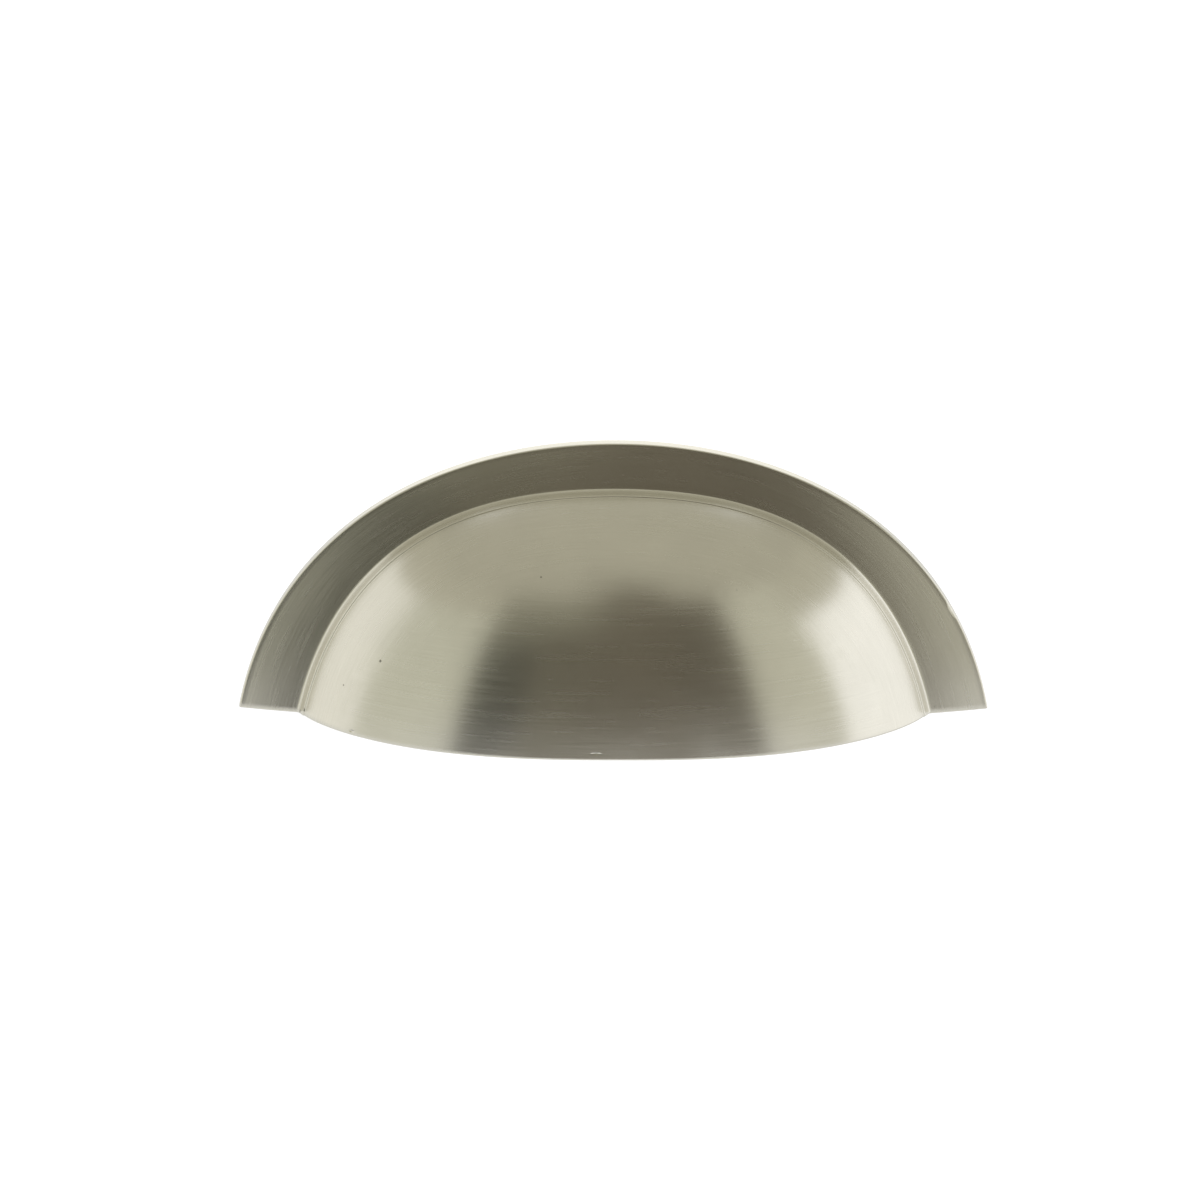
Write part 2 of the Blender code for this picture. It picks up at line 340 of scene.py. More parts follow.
def leans(rings, side):
    """For each ring, the way into the metal at its right end, seen from below, as (across, deeper)."""
    ways = []
    for index in range(len(rings)):
        before = rings[max(index - 1, 0)]
        after = rings[min(index + 1, len(rings) - 1)]
        run, rise = after[0] - before[0], after[2] - before[2]
        size = hypot(run, rise)
        ways.append((-side * rise / size, side * run / size))
    return ways


def angle_at(point, start, height):
    """The angle at which an outline has climbed to a height above the rim."""
    low, high = start, pi / 2
    for _ in range(HALVINGS):
        middle = (low + high) / 2
        if point(middle)[1] < height:
            low = middle
        else:
            high = middle
    return low


def ring_points(form, ring, lean, radius):
    """Points round one outline from its right end to its left, with both ends rounded over into the rim."""
    half_width, height, depth = ring
    point, start = form.outline(half_width, height)
    right = []
    for step in range(RIM_STEPS):
        turn = pi / 2 * (1 - step / RIM_STEPS)
        climb = radius * (1 - sin(turn))
        shift = radius * (1 - cos(turn))
        across = point(angle_at(point, start, climb))[0]
        right.append(Vector((across + lean[0] * shift, -depth - lean[1] * shift, RIM_Z + climb)))
    first = angle_at(point, start, radius)
    arc = []
    for step in range(ARC_STEPS + 1):
        across, climb = point(mix(first, pi - first, step / ARC_STEPS))
        arc.append(Vector((across, -depth, RIM_Z + climb)))
    left = [Vector((-spot.x, spot.y, spot.z)) for spot in reversed(right)]
    return right + arc + left


def deselect_objects():
    for thing in list(bpy.context.selected_objects):
        thing.select_set(False)


def edit_mesh():
    return bmesh.from_edit_mesh(bpy.context.object.data)


def start_chain(points):
    """A circle primitive with a vertex for each point, opened at the rim and laid on the first ring."""
    bpy.ops.mesh.primitive_circle_add(vertices=len(points), radius=HIGH.x, fill_type="NOTHING")
    bpy.ops.object.mode_set(mode="EDIT")
    mesh = edit_mesh()
    place = mesh.verts.layers.int.new("place")
    mesh.verts.ensure_lookup_table()
    for index, vert in enumerate(mesh.verts):
        vert[place] = index
        vert.co = points[index]
    ends = {0, len(points) - 1}
    closing = [edge for edge in mesh.edges if {vert.index for vert in edge.verts} == ends]
    bmesh.ops.delete(mesh, geom=closing, context="EDGES")
    bmesh.update_edit_mesh(bpy.context.object.data)


def extrude_to(points):
    """Extrudes the selected chain of edges, and lays the new chain on the next points."""
    bpy.ops.mesh.extrude_edges_move()
    mesh = edit_mesh()
    place = mesh.verts.layers.int["place"]
    for vert in mesh.verts:
        if vert.select:
            vert.co = points[vert[place]]
    bmesh.update_edit_mesh(bpy.context.object.data)


def close_front(points):
    """Closes the selected ring: its right half is extruded across to its left half, and merged with it."""
    last = len(points) - 1
    mesh = edit_mesh()
    place = mesh.verts.layers.int["place"]
    for vert in mesh.verts:
        if vert[place] > last // 2:
            vert.select = False
    mesh.select_flush_mode()
    bmesh.update_edit_mesh(bpy.context.object.data)
    bpy.ops.mesh.extrude_edges_move()
    mesh = edit_mesh()
    place = mesh.verts.layers.int["place"]
    for vert in mesh.verts:
        if vert.select:
            vert[place] = last - vert[place]
            vert.co = points[vert[place]]
    bmesh.update_edit_mesh(bpy.context.object.data)
    select_chain(points)
    bpy.ops.mesh.remove_doubles(threshold=MERGE_DISTANCE)


def select_chain(points):
    """Selects the chain of edges that lies on these points."""
    bpy.ops.mesh.select_all(action="DESELECT")
    mesh = edit_mesh()
    place = mesh.verts.layers.int["place"]
    for vert in mesh.verts:
        vert.select = (vert.co - points[vert[place]]).length < MERGE_DISTANCE
    mesh.select_flush_mode()
    bmesh.update_edit_mesh(bpy.context.object.data)


def model_shell(form):
    """The outer form and the hollow as one closed shell, ring by ring from the inner edge of the land."""
    sizes = form.sizes
    hollow = form.hollow_rings()
    front = form.front_rings()
    outer = [hollow[0]] + front
    outer_leans = leans(outer, 1)
    hollow_leans = leans(hollow, -1)
    corner = Vector(outer_leans[0]) + Vector(hollow_leans[0])
    first = ring_points(form, hollow[0], corner.normalized(), sizes.inner_lip_radius)

    start_chain(first)
    for ring, lean in zip(outer[1:], outer_leans[1:]):
        points = ring_points(form, ring, lean, sizes.lip_radius)
        extrude_to(points)
    close_front(points)
    select_chain(first)
    for ring, lean in zip(hollow[1:], hollow_leans[1:]):
        points = ring_points(form, ring, lean, sizes.inner_lip_radius)
        extrude_to(points)
    close_front(points)

    bpy.ops.mesh.select_all(action="DESELECT")
    bpy.ops.mesh.select_mode(type="EDGE")
    bpy.ops.mesh.select_non_manifold(extend=False)
    bpy.ops.mesh.mark_sharp()
    bpy.ops.mesh.fill()
    bpy.ops.mesh.select_all(action="SELECT")
    bpy.ops.mesh.normals_make_consistent(inside=False)
    bpy.ops.object.mode_set(mode="OBJECT")
    shell = bpy.context.object
    shell.name = PIECE
    give_slots(shell, BRUSHED)
    inside = Vector((0, -form.sizes.edge_thickness, RIM_Z))
    for face in shell.data.polygons:
        if face.center.y > -MERGE_DISTANCE or face.center.z < RIM_Z + MERGE_DISTANCE:
            face.material_index = GROUND
        elif face.normal.dot(face.center - inside) < 0:
            face.material_index = PLATED
    return shell


def give_slots(thing, slot):
    """Gives a mesh the casting's three finishes, and all its faces one of them."""
    for name in FINISHES:
        thing.data.materials.append(bpy.data.materials[name])
    for face in thing.data.polygons:
        face.material_index = slot


def lay_brush_lines(form, shell):
    """Lays two maps of brush lines on the shell, level ones and arcs, and the arcs' share at each point.

    In each map U runs along the lines and V across them, in metres. The lines are arcs on the flange and on
    the step. On the dome they are level near the lip and in the middle, and arcs near its foot.
    """
    mesh = shell.data
    foot = form.dome_half_width(form.dome_foot_depth)
    profile = form.front_profile()
    travelled = [(0.0, profile[0][1])]
    for before, after in zip(profile, profile[1:]):
        stride = hypot(after[0] - before[0], after[1] - before[1])
        travelled.append((travelled[-1][0] - stride, after[1]))
    level, arcs, shares = [], [], []
    for vert in mesh.vertices:
        depth = -vert.co.y
        climb = vert.co.z - RIM_Z
        level.append((vert.co.x, climb))
        along = atan2(vert.co.x, climb + form.sizes.flange_drop) * form.flange_half
        arcs.append((along, across_at(travelled, depth)))
        share = 1.0
        if depth > form.dome_foot_depth:
            half_width = form.dome_half_width(min(depth, form.sizes.projection))
            rise = climb / form.height_for(max(half_width, FRONT_RING))
            begin = mix(ARCS_BEGIN_LOW, ARCS_BEGIN_HIGH, smoothstep(0.2, 0.7, rise))
            share = smoothstep(begin, ARCS_END, half_width / foot)
        shares.append(share)
    for name, spots in ((LEVEL_MAP, level), (ARC_MAP, arcs)):
        lines = mesh.uv_layers.new(name=name)
        for loop in mesh.loops:
            lines.data[loop.index].uv = spots[loop.vertex_index]
    layer = mesh.attributes.new(ARC_SHARE, "FLOAT", "POINT")
    layer.data.foreach_set("value", shares)


def apply_boolean(thing, tool, operation):
    """Joins the tool to a thing or cuts it away, and leaves the tool out of the scene."""
    modifier = thing.modifiers.new(tool.name, "BOOLEAN")
    modifier.operation = operation
    modifier.solver = "EXACT"
    modifier.object = tool
    deselect_objects()
    bpy.context.view_layer.objects.active = thing
    bpy.ops.object.modifier_apply(modifier=modifier.name)
    bpy.data.objects.remove(tool, do_unlink=True)


def add_cylinder(name, radius, near, far, across, sides):
    """A cylinder along Y between two depths, open in edit mode with nothing selected."""
    deselect_objects()
    bpy.ops.mesh.primitive_cylinder_add(
        vertices=sides,
        radius=radius,
        depth=far - near,
        location=(across, -(near + far) / 2, 0),
        rotation=(pi / 2, 0, 0),
    )
    bpy.ops.object.transform_apply(location=True, rotation=True, scale=True)
    thing = bpy.context.object
    thing.name = name
    bpy.ops.object.mode_set(mode="EDIT")
    bpy.ops.mesh.select_all(action="DESELECT")
    return thing


def select_far_cap(far):
    """Selects the cylinder's end face at a depth."""
    mesh = edit_mesh()
    for face in mesh.faces:
        face.select = all(abs(vert.co.y + far) < MERGE_DISTANCE for vert in face.verts)
    mesh.select_flush(True)
    bmesh.update_edit_mesh(bpy.context.object.data)


def wall_depth(shell, across, climb):
    """Depth of the hollow's wall at a point of the back plane, by a ray from behind."""
    hit, spot, _, _ = shell.ray_cast(Vector((across, OVERCUT, climb)), Vector((0, -1, 0)))
    if not hit:
        raise RuntimeError("a boss lies outside the hollow")
    return -spot.y


def boss_rings(shell, sizes, across, way):
    """How far out and how deep a boss's rings lie in one direction, from the fillet's start inwards."""

    def wall_at(out):
        return wall_depth(shell, across + way.x * out, way.y * out)

    wide = sizes.diameter / 2
    for _ in range(ROOT_ROUNDS):
        root = wall_at(wide)
        wide = sizes.diameter / 2 + root * tan(BOSS_DRAFT)
    spread = wide + sizes.fillet
    start = (wide, root - sizes.fillet)
    middle = (wide, root)
    end = (spread, wall_at(spread) + FILLET_SINK)
    rings = []
    for step in range(FILLET_STEPS + 1):
        share = step / FILLET_STEPS
        places = zip(start, middle, end)
        rings.append(tuple(mix(mix(a, b, share), mix(b, c, share), share) for a, b, c in places))
    for step in range(SUNK_RINGS + 1):
        out = spread * (1 - step / (SUNK_RINGS + 0.5))
        rings.append((out, wall_at(out) + BOSS_SINK))
    return rings


def model_boss(shell, sizes, across):
    """A boss with its draft, a fillet laid on the hollow's wall round it, and its root inside the wall."""
    radius = sizes.diameter / 2
    depth = 2 * radius
    boss = add_cylinder("boss", radius, 0.0, depth, across, ROUND_SIDES)
    select_far_cap(depth)
    bpy.ops.mesh.delete(type="ONLY_FACE")
    select_far_rim(depth)
    mesh = edit_mesh()
    rings = {}
    for vert in mesh.verts:
        if vert.select:
            way = Vector((vert.co.x - across, vert.co.z)).normalized()
            rings[bearing(way)] = (way, boss_rings(shell, sizes, across, way))
    count = len(next(iter(rings.values()))[1])
    for step in range(count):
        if step:
            bpy.ops.mesh.extrude_edges_move()
        mesh = edit_mesh()
        for vert in mesh.verts:
            if vert.select:
                way, places = rings[bearing(Vector((vert.co.x - across, vert.co.z)))]
                out, deep = places[step]
                vert.co = Vector((across + way.x * out, -deep, way.y * out))
        bmesh.update_edit_mesh(boss.data)
    bpy.ops.mesh.merge(type="CENTER")
    bpy.ops.mesh.select_all(action="SELECT")
    bpy.ops.mesh.normals_make_consistent(inside=False)
    bpy.ops.object.mode_set(mode="OBJECT")
    give_slots(boss, PLATED)
    for face in boss.data.polygons:
        if face.center.y > -MERGE_DISTANCE:
            face.material_index = GROUND
    return boss


def bearing(way):
    """Which of the boss's sides a direction from its axis points to."""
    return round(atan2(way.y, way.x) * ROUND_SIDES / (2 * pi)) % ROUND_SIDES


def select_far_rim(far):
    """Selects the open edges round the cylinder's end at a depth."""
    bpy.ops.mesh.select_all(action="DESELECT")
    mesh = edit_mesh()
    for edge in mesh.edges:
        edge.select = all(abs(vert.co.y + far) < MERGE_DISTANCE for vert in edge.verts)
    mesh.select_flush(True)
    bmesh.update_edit_mesh(bpy.context.object.data)


def model_drill(sizes, across):
    """The countersunk hole before it is tapped, with the cone of the drill's point at its end."""
    radius = sizes.tapping_diameter / 2
    drill = add_cylinder("drill", radius + sizes.mouth_chamfer, -OVERCUT, 0.0, across, ROUND_SIDES)
    select_far_cap(0.0)
    point = radius / tan(DRILL_POINT / 2)
    for deeper in (sizes.mouth_chamfer, sizes.tapping_depth - sizes.mouth_chamfer, point):
        bpy.ops.mesh.extrude_region_move(TRANSFORM_OT_translate={"value": (0, -deeper, 0)})
        if deeper == sizes.mouth_chamfer:
            share = radius / (radius + sizes.mouth_chamfer)
            bpy.ops.transform.resize(value=(share, 1, share), center_override=(across, -deeper, 0))
    bpy.ops.mesh.merge(type="CENTER")
    bpy.ops.object.mode_set(mode="OBJECT")
    give_slots(drill, GROUND)
    return drill


def model_thread(sizes, across):
    """The tap: one turn's profile wound into a helix, then cut off square at both ends."""
    crest = sizes.tapping_diameter / 2 - THREAD_CLEARANCE
    root = sizes.thread_diameter / 2
    flank = (root - crest) * tan(THREAD_ANGLE / 2)
    flat = sizes.pitch / 8
    top = 2 * sizes.pitch
    heights = [0, sizes.pitch / 2 - flat / 2 - flank, sizes.pitch / 2 - flat / 2]
    heights += [sizes.pitch / 2 + flat / 2, sizes.pitch / 2 + flat / 2 + flank, sizes.pitch]
    radii = [crest, crest, root, root, crest, crest]
    deselect_objects()
    out = Vector((cos(THREAD_START), 0, sin(THREAD_START)))
    start_chain([out * radius + Vector((0, top - height, 0)) for radius, height in zip(radii, heights)])
    bpy.ops.object.mode_set(mode="OBJECT")
    tap = bpy.context.object
    modifier = tap.modifiers.new("wind", "SCREW")
    modifier.axis = "Y"
    modifier.screw_offset = -sizes.pitch
    modifier.iterations = int(sizes.thread_depth / sizes.pitch) + 4
    modifier.steps = THREAD_SIDES
    modifier.render_steps = THREAD_SIDES
    bpy.ops.object.modifier_apply(modifier=modifier.name)
    bpy.ops.object.mode_set(mode="EDIT")
    bpy.ops.mesh.select_all(action="SELECT")
    bpy.ops.mesh.remove_doubles(threshold=MERGE_DISTANCE)
    for height, way in ((OVERCUT / 2, 1), (-sizes.thread_depth, -1)):
        bpy.ops.mesh.select_all(action="SELECT")
        bpy.ops.mesh.bisect(
            plane_co=(0, height, 0),
            plane_no=(0, way, 0),
            use_fill=True,
            clear_outer=True,
            threshold=MERGE_DISTANCE / 10,
        )
    bpy.ops.mesh.select_all(action="SELECT")
    bpy.ops.mesh.normals_make_consistent(inside=False)
    bpy.ops.transform.translate(value=(across, 0, 0))
    bpy.ops.object.mode_set(mode="OBJECT")
    give_slots(tap, GROUND)
    return tap


def add_node(tree, kind, settings=None, **inputs):
    """A shader node. An input is a value or another node's output, by the input's name in lower case."""
    node = tree.nodes.new("ShaderNode" + kind)
    for name, value in (settings or {}).items():
        setattr(node, name, value)
    for name, value in inputs.items():
        number = name.rsplit("_", 1)[-1]
        sockets = [socket for socket in node.inputs if socket.enabled]
        if number.isdigit():
            socket = sockets[int(number)]
        else:
            socket = next(socket for socket in sockets if socket.name.lower().replace(" ", "_") == name)
        if isinstance(value, bpy.types.NodeSocket):
            tree.links.new(value, socket)
        elif socket.type == "RGBA" and len(value) == 3:
            socket.default_value = (*value, 1.0)
        else:
            socket.default_value = value
    return node


def new_material(name):
    material = bpy.data.materials.new(name)
    material.use_nodes = True
    tree = material.node_tree
    return material, tree, tree.nodes["Principled BSDF"]


def remap(tree, value, low, high, to_low, to_high):
    node = add_node(
        tree, "MapRange", value=value, from_min=low, from_max=high, to_min=to_low, to_max=to_high
    )
    return node.outputs["Result"]


def blend(tree, kind, share, first, last):
    settings = {"data_type": "RGBA", "blend_type": kind}
    node = add_node(tree, "Mix", settings, input_0=share, input_1=first, input_2=last)
    return node.outputs[2]


def between(tree, share, first, last, kind="FLOAT"):
    node = add_node(tree, "Mix", {"data_type": kind}, input_0=share, input_1=first, input_2=last)
    return next(socket for socket in node.outputs if socket.enabled)


def math(tree, operation, first, last):
    return add_node(tree, "Math", {"operation": operation}, input_0=first, input_1=last).outputs[0]


def streaks(tree, coordinates, long, wide, detail):
    """Noise drawn out along the brush lines: the length and width of one stroke, in metres."""
    place = add_node(tree, "Mapping", vector=coordinates, scale=(1 / long, 1 / wide, 1))
    noise = add_node(tree, "TexNoise", vector=place.outputs[0], scale=1.0, detail=detail, roughness=0.6)
    return noise.outputs[0]


def near(tree, place, spot, reach, turn=0.0):
    """1 at a spot of the casting, falling to 0 at its reach along X, Y and Z, turned about Y."""
    settings = {"vector_type": "TEXTURE"}
    placed = add_node(
        tree, "Mapping", settings, vector=place, location=spot, rotation=(0, turn, 0), scale=reach
    )
    distance = add_node(tree, "VectorMath", {"operation": "LENGTH"}, vector=placed.outputs[0])
    return remap(tree, distance.outputs["Value"], 0.3, 1.0, 1.0, 0.0)


def all_near(tree, place, spots):
    """The same for several spots, each with its own reach and turn."""
    share = near(tree, place, *spots[0])
    for spot in spots[1:]:
        share = math(tree, "MAXIMUM", share, near(tree, place, *spot))
    return share


# Small faults of use and handling, and three marks of painted shade: where they lie on the casting, their
# reach along X, Y and Z, their turn
PITS_AND_PAINTED_SHADE = (
    ((-0.03224, -0.01317, -0.00113), (0.00028, 0.00028, 0.00028)),
    ((-0.03737, -0.01043, -0.00561), (0.00020, 0.00020, 0.00020)),
    ((-0.01033, -0.01533, 0.01178), (0.00018, 0.00018, 0.00018)),
    ((0.01631, -0.01534, 0.00998), (0.00012, 0.00012, 0.00012)),
    ((0.01751, -0.01055, 0.01453), (0.00012, 0.00012, 0.00012)),
    # The last three are painted shade, not pits: dark marks where the step's crest comes down to the rim,
    # left and right
    ((-0.04360, -0.00451, -0.01156), (0.00030, 0.00030, 0.00040)),
    ((-0.04288, -0.00539, -0.01109), (0.00020, 0.00030, 0.00035)),
    ((0.04449, -0.00401, -0.01099), (0.00025, 0.00030, 0.00060)),
)
DENTS = (
    ((0.0468, -0.0020, 0.00262), (0.00055, 0.0008, 0.0017), radians(-29)),
    ((-0.00281, -0.02288, -0.01102), (0.0008, 0.0004, 0.00022)),
    ((-0.03624, -0.01301, -0.01138), (0.0006, 0.0005, 0.00022)),
)
DENT_DEPTH = 0.00012


def make_brushed_nickel(finish):
    """Nickel with fine strokes: level ones and arcs, mingled where one gives way to the other."""
    material, tree, shader = new_material(FINISHES[BRUSHED])
    place = add_node(tree, "TexCoord").outputs["Object"]
    clouds = add_node(tree, "TexNoise", vector=place, scale=90.0, detail=3.0, roughness=0.55).outputs[0]
    patches = add_node(tree, "TexNoise", vector=place, scale=420.0, detail=2.0, roughness=0.5).outputs[0]
    share = add_node(tree, "Attribute", {"attribute_name": ARC_SHARE}).outputs["Fac"]
    share = math(tree, "ADD", share, remap(tree, patches, 0.3, 0.7, -0.25, 0.25))
    share = remap(tree, share, 0.25, 0.75, 0.0, 1.0)
    fine, coarse, tangents = [], [], []
    for name in (LEVEL_MAP, ARC_MAP):
        lines = add_node(tree, "UVMap", {"uv_map": name}).outputs[0]
        fine.append(streaks(tree, lines, STROKE_LENGTH, STROKE_WIDTH, 2.0))
        coarse.append(streaks(tree, lines, BAND_LENGTH, BAND_WIDTH, 2.0))
        tangents.append(add_node(tree, "Tangent", {"direction_type": "UV_MAP", "uv_map": name}).outputs[0])
    fine = between(tree, share, *fine)
    coarse = between(tree, share, *coarse)
    tangent = between(tree, share, *tangents, kind="VECTOR")
    tone = remap(tree, fine, 0.3, 0.7, 0.0, 1.0)
    colour_mix = blend(tree, "MIX", tone, finish.stroke_shade, finish.nickel)
    shade = remap(tree, clouds, 0.3, 0.7, 0.96, 1.03)
    colour_mix = blend(tree, "MULTIPLY", 1.0, colour_mix, shade)
    # Dark colour on the small pits, and painted shade at the step's ends by the rim
    colour_mix = blend(tree, "MIX", all_near(tree, place, PITS_AND_PAINTED_SHADE), colour_mix, finish.pits_and_painted_shade)
    tree.links.new(colour_mix, shader.inputs["Base Color"])
    depth = math(tree, "ADD", fine, math(tree, "MULTIPLY", coarse, 0.7))
    rough = remap(tree, depth, 0.55, 1.15, finish.roughness * 0.91, finish.roughness * 1.09)
    tree.links.new(rough, shader.inputs["Roughness"])
    shader.inputs["Metallic"].default_value = 1.0
    shader.inputs["Anisotropic"].default_value = 0.5
    shader.inputs["Anisotropic Rotation"].default_value = 0.25
    tree.links.new(tangent, shader.inputs["Tangent"])
    strokes = add_node(tree, "Bump", height=depth, strength=0.16, distance=0.00002)
    dents = math(tree, "SUBTRACT", 1.0, all_near(tree, place, DENTS))
    dents = add_node(tree, "Bump", height=dents, strength=1.0, distance=DENT_DEPTH, normal=strokes.outputs[0])
    tree.links.new(dents.outputs[0], shader.inputs["Normal"])
    return material


def make_plated_hollow(finish):
    material, tree, shader = new_material(FINISHES[PLATED])
    place = add_node(tree, "TexCoord").outputs["Object"]
    grain = add_node(tree, "TexNoise", vector=place, scale=2500.0, detail=3.0, roughness=0.6).outputs[0]
    clouds = add_node(tree, "TexNoise", vector=place, scale=120.0, detail=3.0, roughness=0.55).outputs[0]
    shade = remap(tree, clouds, 0.3, 0.7, 0.88, 1.06)
    tree.links.new(blend(tree, "MULTIPLY", 1.0, finish.plated, shade), shader.inputs["Base Color"])
    tree.links.new(remap(tree, grain, 0.3, 0.7, 0.36, 0.5), shader.inputs["Roughness"])
    shader.inputs["Metallic"].default_value = 1.0
    bump = add_node(tree, "Bump", height=grain, strength=0.3, distance=0.00004)
    tree.links.new(bump.outputs[0], shader.inputs["Normal"])
    return material


def make_ground_face(finish):
    material, tree, shader = new_material(FINISHES[GROUND])
    place = add_node(tree, "TexCoord").outputs["Object"]
    stretch = add_node(tree, "Mapping", vector=place, scale=(60.0, 4000.0, 4000.0)).outputs[0]
    grain = add_node(tree, "TexNoise", vector=stretch, scale=1.0, detail=3.0, roughness=0.6).outputs[0]
    shade = remap(tree, grain, 0.3, 0.7, 0.9, 1.04)
    tree.links.new(blend(tree, "MULTIPLY", 1.0, finish.ground, shade), shader.inputs["Base Color"])
    tree.links.new(remap(tree, grain, 0.3, 0.7, 0.24, 0.38), shader.inputs["Roughness"])
    shader.inputs["Metallic"].default_value = 1.0
    bump = add_node(tree, "Bump", height=grain, strength=0.25, distance=0.00003)
    tree.links.new(bump.outputs[0], shader.inputs["Normal"])
    return material


class FinishSettings(bpy.types.PropertyGroup):
    """Colours of the nickel"""

    nickel: colour("Nickel", "The brushed nickel", (0.63, 0.612, 0.54))
    stroke_shade: colour("Stroke shade", "The nickel in the deeper brush strokes", (0.598, 0.580, 0.509))
    # Dark colour of the small pits, also used as painted shade at the step's ends by the rim
    pits_and_painted_shade: colour("Pits", "The darkening in the small pits", (0.12, 0.11, 0.09))
    plated: colour("Plated hollow", "The plated casting skin inside", (0.58, 0.56, 0.51))
    ground: colour("Ground face", "The land, the rim and the boss faces", (0.66, 0.64, 0.59))
    roughness: FloatProperty(
        name="Roughness",
        description="Of the brushed nickel",
        default=0.26,
        min=0.0,
        max=1.0,
        subtype="FACTOR",
    )


class StageSettings(bpy.types.PropertyGroup):
    """Colours of the floor and of the cards that the metal reflects"""

    floor: colour("Floor", "The floor and the background", (1.0, 1.0, 1.0))
    front_left: colour("Front card, left", "The dark card behind the camera", (0.07, 0.069, 0.054))
    front_middle: colour("Front card, middle", "The same, from the middle", (0.185, 0.17, 0.13))
    front_right: colour("Front card, right", "The same, on the right", (0.17, 0.15, 0.115))
    front_upper: colour("Front card, upper left", "Above the dark card, on the left", (0.34, 0.33, 0.26))
    near_left: colour("Near wall, left", "Between the front card and the left light", (0.77, 0.77, 0.66))
    near_right: colour("Near wall, right", "Between the front card and the right light", (0.74, 0.73, 0.62))
    light_left: colour("Left light", "The soft box on the left", (1.0, 0.99, 0.95))
    light_right: colour("Right light", "The soft box on the right", (0.99, 0.99, 1.0))
    ceiling: colour("Ceiling", "The card overhead", (0.61, 0.59, 0.49))


CARDS = (
    # name, setting, strength, azimuths, elevations
    ("card_front_low_left", "front_left", 0.6, (-35, -17), (-20, -5)),
    ("card_front_left", "front_left", 1.35, (-35, -17), (-5, 23)),
    ("card_front_middle", "front_middle", 1.0, (-17, -2), (-26, 30)),
    ("card_front_right", "front_right", 1.0, (-2, 14), (-26, 54)),
    ("card_front_far_right", "front_right", 0.85, (14, 33), (-20, 46)),
    ("card_front_upper_left", "front_upper", 0.8, (-35, -17), (23, 46)),
    ("card_front_upper", "front_upper", 1.0, (-17, -2), (30, 46)),
    ("card_near_left", "near_left", 1.0, (-76, -35), (-12, 34)),
    ("card_near_right", "near_right", 1.0, (33, 64), (-12, 46)),
    ("light_left", "light_left", 1.2, (-120, -76), (-12, 34)),
    ("light_right", "light_right", 1.45, (64, 120), (-20, 28)),
    ("card_shoulder_left", "ceiling", 1.05, (-134, -35), (34, 46)),
    ("card_shoulder_right", "ceiling", 1.05, (64, 134), (28, 46)),
    ("card_ceiling_left", "ceiling", 0.95, (-134, -2), (46, 60)),
    ("card_ceiling_middle", "ceiling", 0.8, (-2, 14), (54, 60)),
    ("card_ceiling_right", "ceiling", 0.95, (14, 134), (46, 60)),
    ("card_ceiling", "ceiling", 1.0, (-180, 180), (60, 89.9)),
    ("card_rear", "light_left", 1.45, (150, 210), (6, 46)),
)
CARD_RADIUS = 0.7
CARD_STEP = 4  # degrees between a card's points
FLOOR_SIZE = 8
FLOOR_GLOW = 0.6  # share of the floor's own light in what is seen of it, which leaves a faint shadow
WORLD_LIGHT = 0.7  # strength of the background as a light, where 1 is white
LAMPS = (
    # name, azimuth, elevation, distance, size, power
    ("lamp_key", 60, 50, 1.2, 0.8, 14),
    ("lamp_fill", -60, 50, 1.2, 0.8, 9),
)


def way_towards(azimuth, elevation):
    """The direction at an azimuth, from -Y towards +X, and an elevation, both in degrees."""
    turn, rise = radians(azimuth), radians(elevation)
    return Vector((sin(turn) * cos(rise), -cos(turn) * cos(rise), sin(rise)))


def glow(name, tint, strength):
    """A material that only gives light."""
    material, tree, shader = new_material(name)
    tree.nodes.remove(shader)
    emission = add_node(tree, "Emission", color=tint, strength=strength)
    tree.links.new(emission.outputs[0], tree.nodes["Material Output"].inputs["Surface"])
    return material


def add_card(name, tint, strength, azimuths, elevations):
    """A piece of a sphere round the pull, which the metal reflects and nothing else sees."""
    columns = int((azimuths[1] - azimuths[0]) / CARD_STEP) + 2
    rows = int((elevations[1] - elevations[0]) / CARD_STEP) + 2
    deselect_objects()
    bpy.ops.mesh.primitive_grid_add(x_subdivisions=columns, y_subdivisions=rows, size=2)
    card = bpy.context.object
    card.name = name
    for vert in card.data.vertices:
        azimuth = mix(azimuths[0], azimuths[1], (vert.co.x + 1) / 2)
        elevation = mix(elevations[0], elevations[1], (vert.co.y + 1) / 2)
        vert.co = way_towards(azimuth, elevation) * CARD_RADIUS
    card.data.materials.append(glow(name, tint, strength))
    card.visible_camera = False
    card.visible_diffuse = False
    card.visible_shadow = False
    card.visible_transmission = False
    return card


def looked_at(tree):
    """1 for a ray that shows a surface, straight or in the metal, and 0 for one that only lights another."""
    path = add_node(tree, "LightPath")
    seen = math(tree, "MAXIMUM", path.outputs["Is Camera Ray"], path.outputs["Is Glossy Ray"])
    return math(tree, "MAXIMUM", seen, path.outputs["Is Transmission Ray"])


def make_floor(tint):
    """A pale floor that looks white and still takes a soft shadow."""
    material, tree, shader = new_material("Floor")
    tree.nodes.remove(shader)
    diffuse = add_node(tree, "BsdfDiffuse", color=tint)
    emission = add_node(tree, "Emission", color=tint, strength=1.0)
    share = math(tree, "MULTIPLY", looked_at(tree), FLOOR_GLOW)
    mixed = add_node(
        tree, "MixShader", input_0=share, input_1=diffuse.outputs[0], input_2=emission.outputs[0]
    )
    tree.links.new(mixed.outputs[0], tree.nodes["Material Output"].inputs["Surface"])
    return material


def light_world(tint):
    """A white background for what sees it, and a plain soft light for the rest."""
    world = bpy.data.worlds.new("World")
    world.use_nodes = True
    bpy.context.scene.world = world
    tree = world.node_tree
    strength = remap(tree, looked_at(tree), 0.0, 1.0, WORLD_LIGHT, 1.0)
    background = tree.nodes["Background"]
    background.inputs["Color"].default_value = (*tint, 1.0)
    tree.links.new(strength, background.inputs["Strength"])


